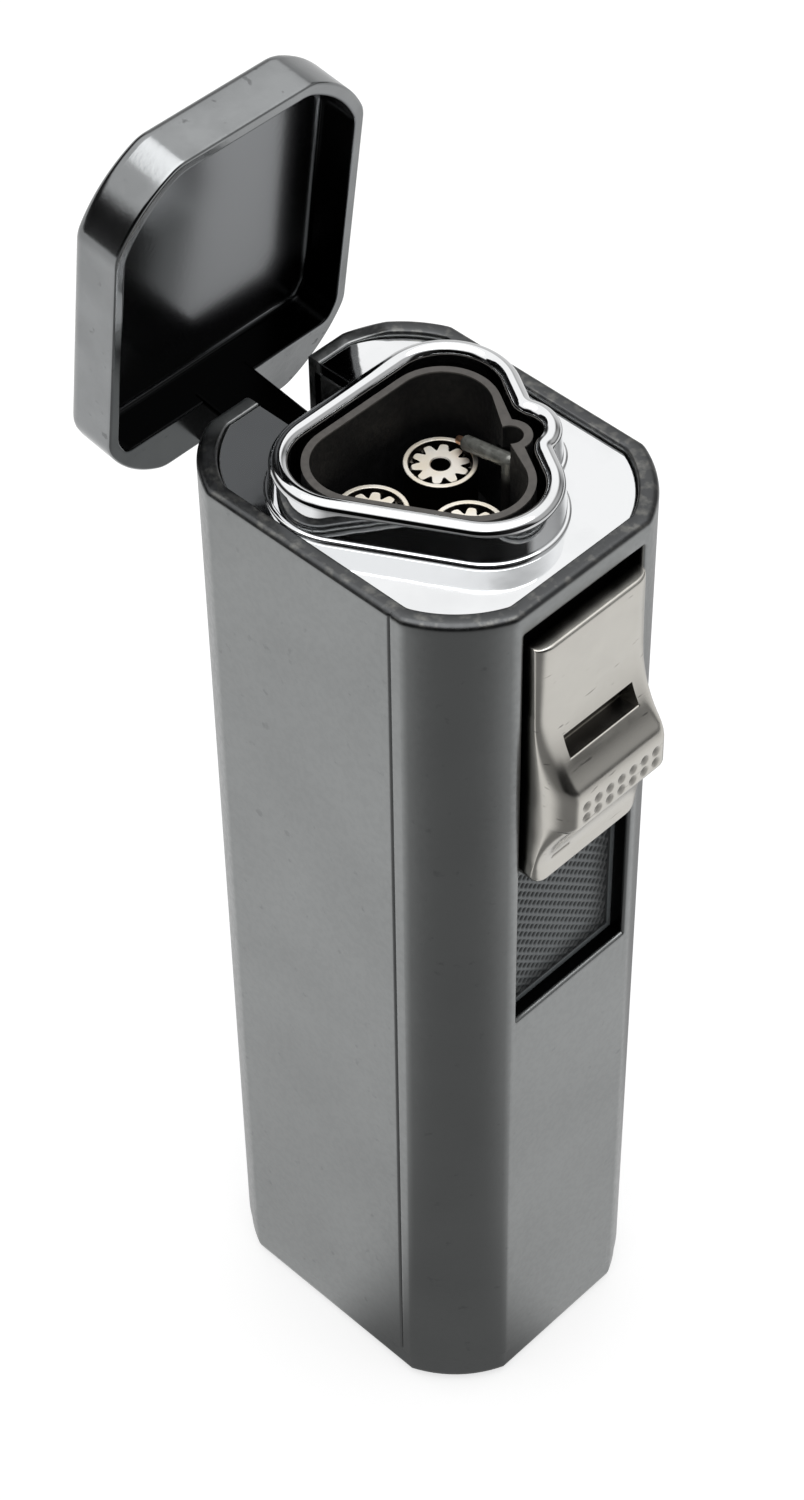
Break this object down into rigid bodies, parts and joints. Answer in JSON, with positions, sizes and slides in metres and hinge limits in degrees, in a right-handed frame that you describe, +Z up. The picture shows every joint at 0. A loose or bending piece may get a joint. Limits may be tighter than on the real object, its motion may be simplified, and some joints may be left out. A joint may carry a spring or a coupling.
{
  "type": "pocket jet lighter",
  "caption": "Slim refillable gas lighter with a flip lid, star-shaped jets inside a chrome wind guard, and a thumb slide that opens the gas and fires the piezo spark.",
  "frame": {"origin": "middle of the underside of the base plate", "axes": "+Z up the body, -Y out of the slide face, +Y towards the hinge, +X to the right as the slide face is seen"},
  "size_m": [0.0192, 0.0342, 0.0865],
  "materials": {
    "body": "satin graphite plating on zinc",
    "lid": "polished gunmetal plating on zinc",
    "chrome": "mirror chrome plating",
    "slide": "bright nickel plating on zinc",
    "panel": "moulded with a fine hatch",
    "liner": "matt black oxide",
    "jet": "turned steel",
    "ceramic": "glazed insulator",
    "copper": "bare copper wire",
    "brass": "turned brass",
    "steel": "zinc-plated steel",
    "moulding": "moulded black nylon",
    "tube": "black silicone",
    "rubber": "nitrile seal",
    "tank": "natural nylon"
  },
  "bodies": {
    "case": {"front_shell": "body", "rear_shell": "body", "base_plate": "body", "base_screws": "steel", "top_plate": "chrome", "wind_guard": "chrome", "burner_liner": "liner", "jet_barrels": "jet", "jet_discs": "jet", "gas_manifold": "brass", "gas_tube": "tube", "electrode_sleeve": "ceramic", "electrode_wire": "copper", "ignition_lead": "tube", "window_panel": "panel", "slide_spring": "steel", "piezo_case": "moulding", "valve_body": "brass", "valve_seal": "rubber", "lever_pin": "steel", "chassis": "moulding", "tank": "tank", "tank_cover": "tank", "fill_valve": "brass", "hinge_pin": "steel", "lid_leaf": "steel"},
    "lid": {"lid": "lid"},
    "slide": {"slide": "slide", "slide_carriage": "moulding", "slide_screw": "steel"},
    "plunger": {"piezo_plunger": "moulding"},
    "lever": {"valve_lever": "steel"},
    "stem": {"valve_stem": "steel"},
    "dial": {"flame_dial": "moulding"},
    "filler": {"fill_stem": "steel"}
  },
  "joints": [
    {"name": "lid_hinge", "type": "hinge", "parent": "case", "child": "lid", "pos_m": [0, 0.00985, 0.064], "axis": [1, 0, 0], "range_deg": [0, 82]},
    {"name": "slide_pull", "type": "slide", "parent": "case", "child": "slide", "axis": [0, 0, -1], "range_m": [0, 0.006], "stiffness_N_per_m": 400, "springref_m": -0.001, "deforming": ["slide_spring"]},
    {"name": "piezo_press", "type": "slide", "parent": "case", "child": "plunger", "axis": [0, 0, -1], "range_m": [0, 0.006]},
    {"name": "lever_tilt", "type": "hinge", "parent": "case", "child": "lever", "pos_m": [0.003, 0.0028, 0.0461], "axis": [1, 0, 0], "range_deg": [0, 30]},
    {"name": "valve_lift", "type": "slide", "parent": "case", "child": "stem", "axis": [0, 0, 1], "range_m": [0, 0.00183]},
    {"name": "dial_turn", "type": "hinge", "parent": "case", "child": "dial", "pos_m": [0.003, 0.0062, 0.001], "axis": [0, 0, 1], "range_deg": [-135, 135]},
    {"name": "fill_press", "type": "slide", "parent": "case", "child": "filler", "axis": [0, 0, 1], "range_m": [0, 0.0012], "stiffness_N_per_m": 600, "springref_m": -0.001}
  ],
  "couplings": [
    {"joint": "piezo_press", "follows": "slide_pull", "ratio": 1},
    {"joint": "lever_tilt", "follows": "slide_pull", "rad_per_m": 87.24},
    {"joint": "valve_lift", "follows": "slide_pull", "ratio": 0.3036}
  ]
}
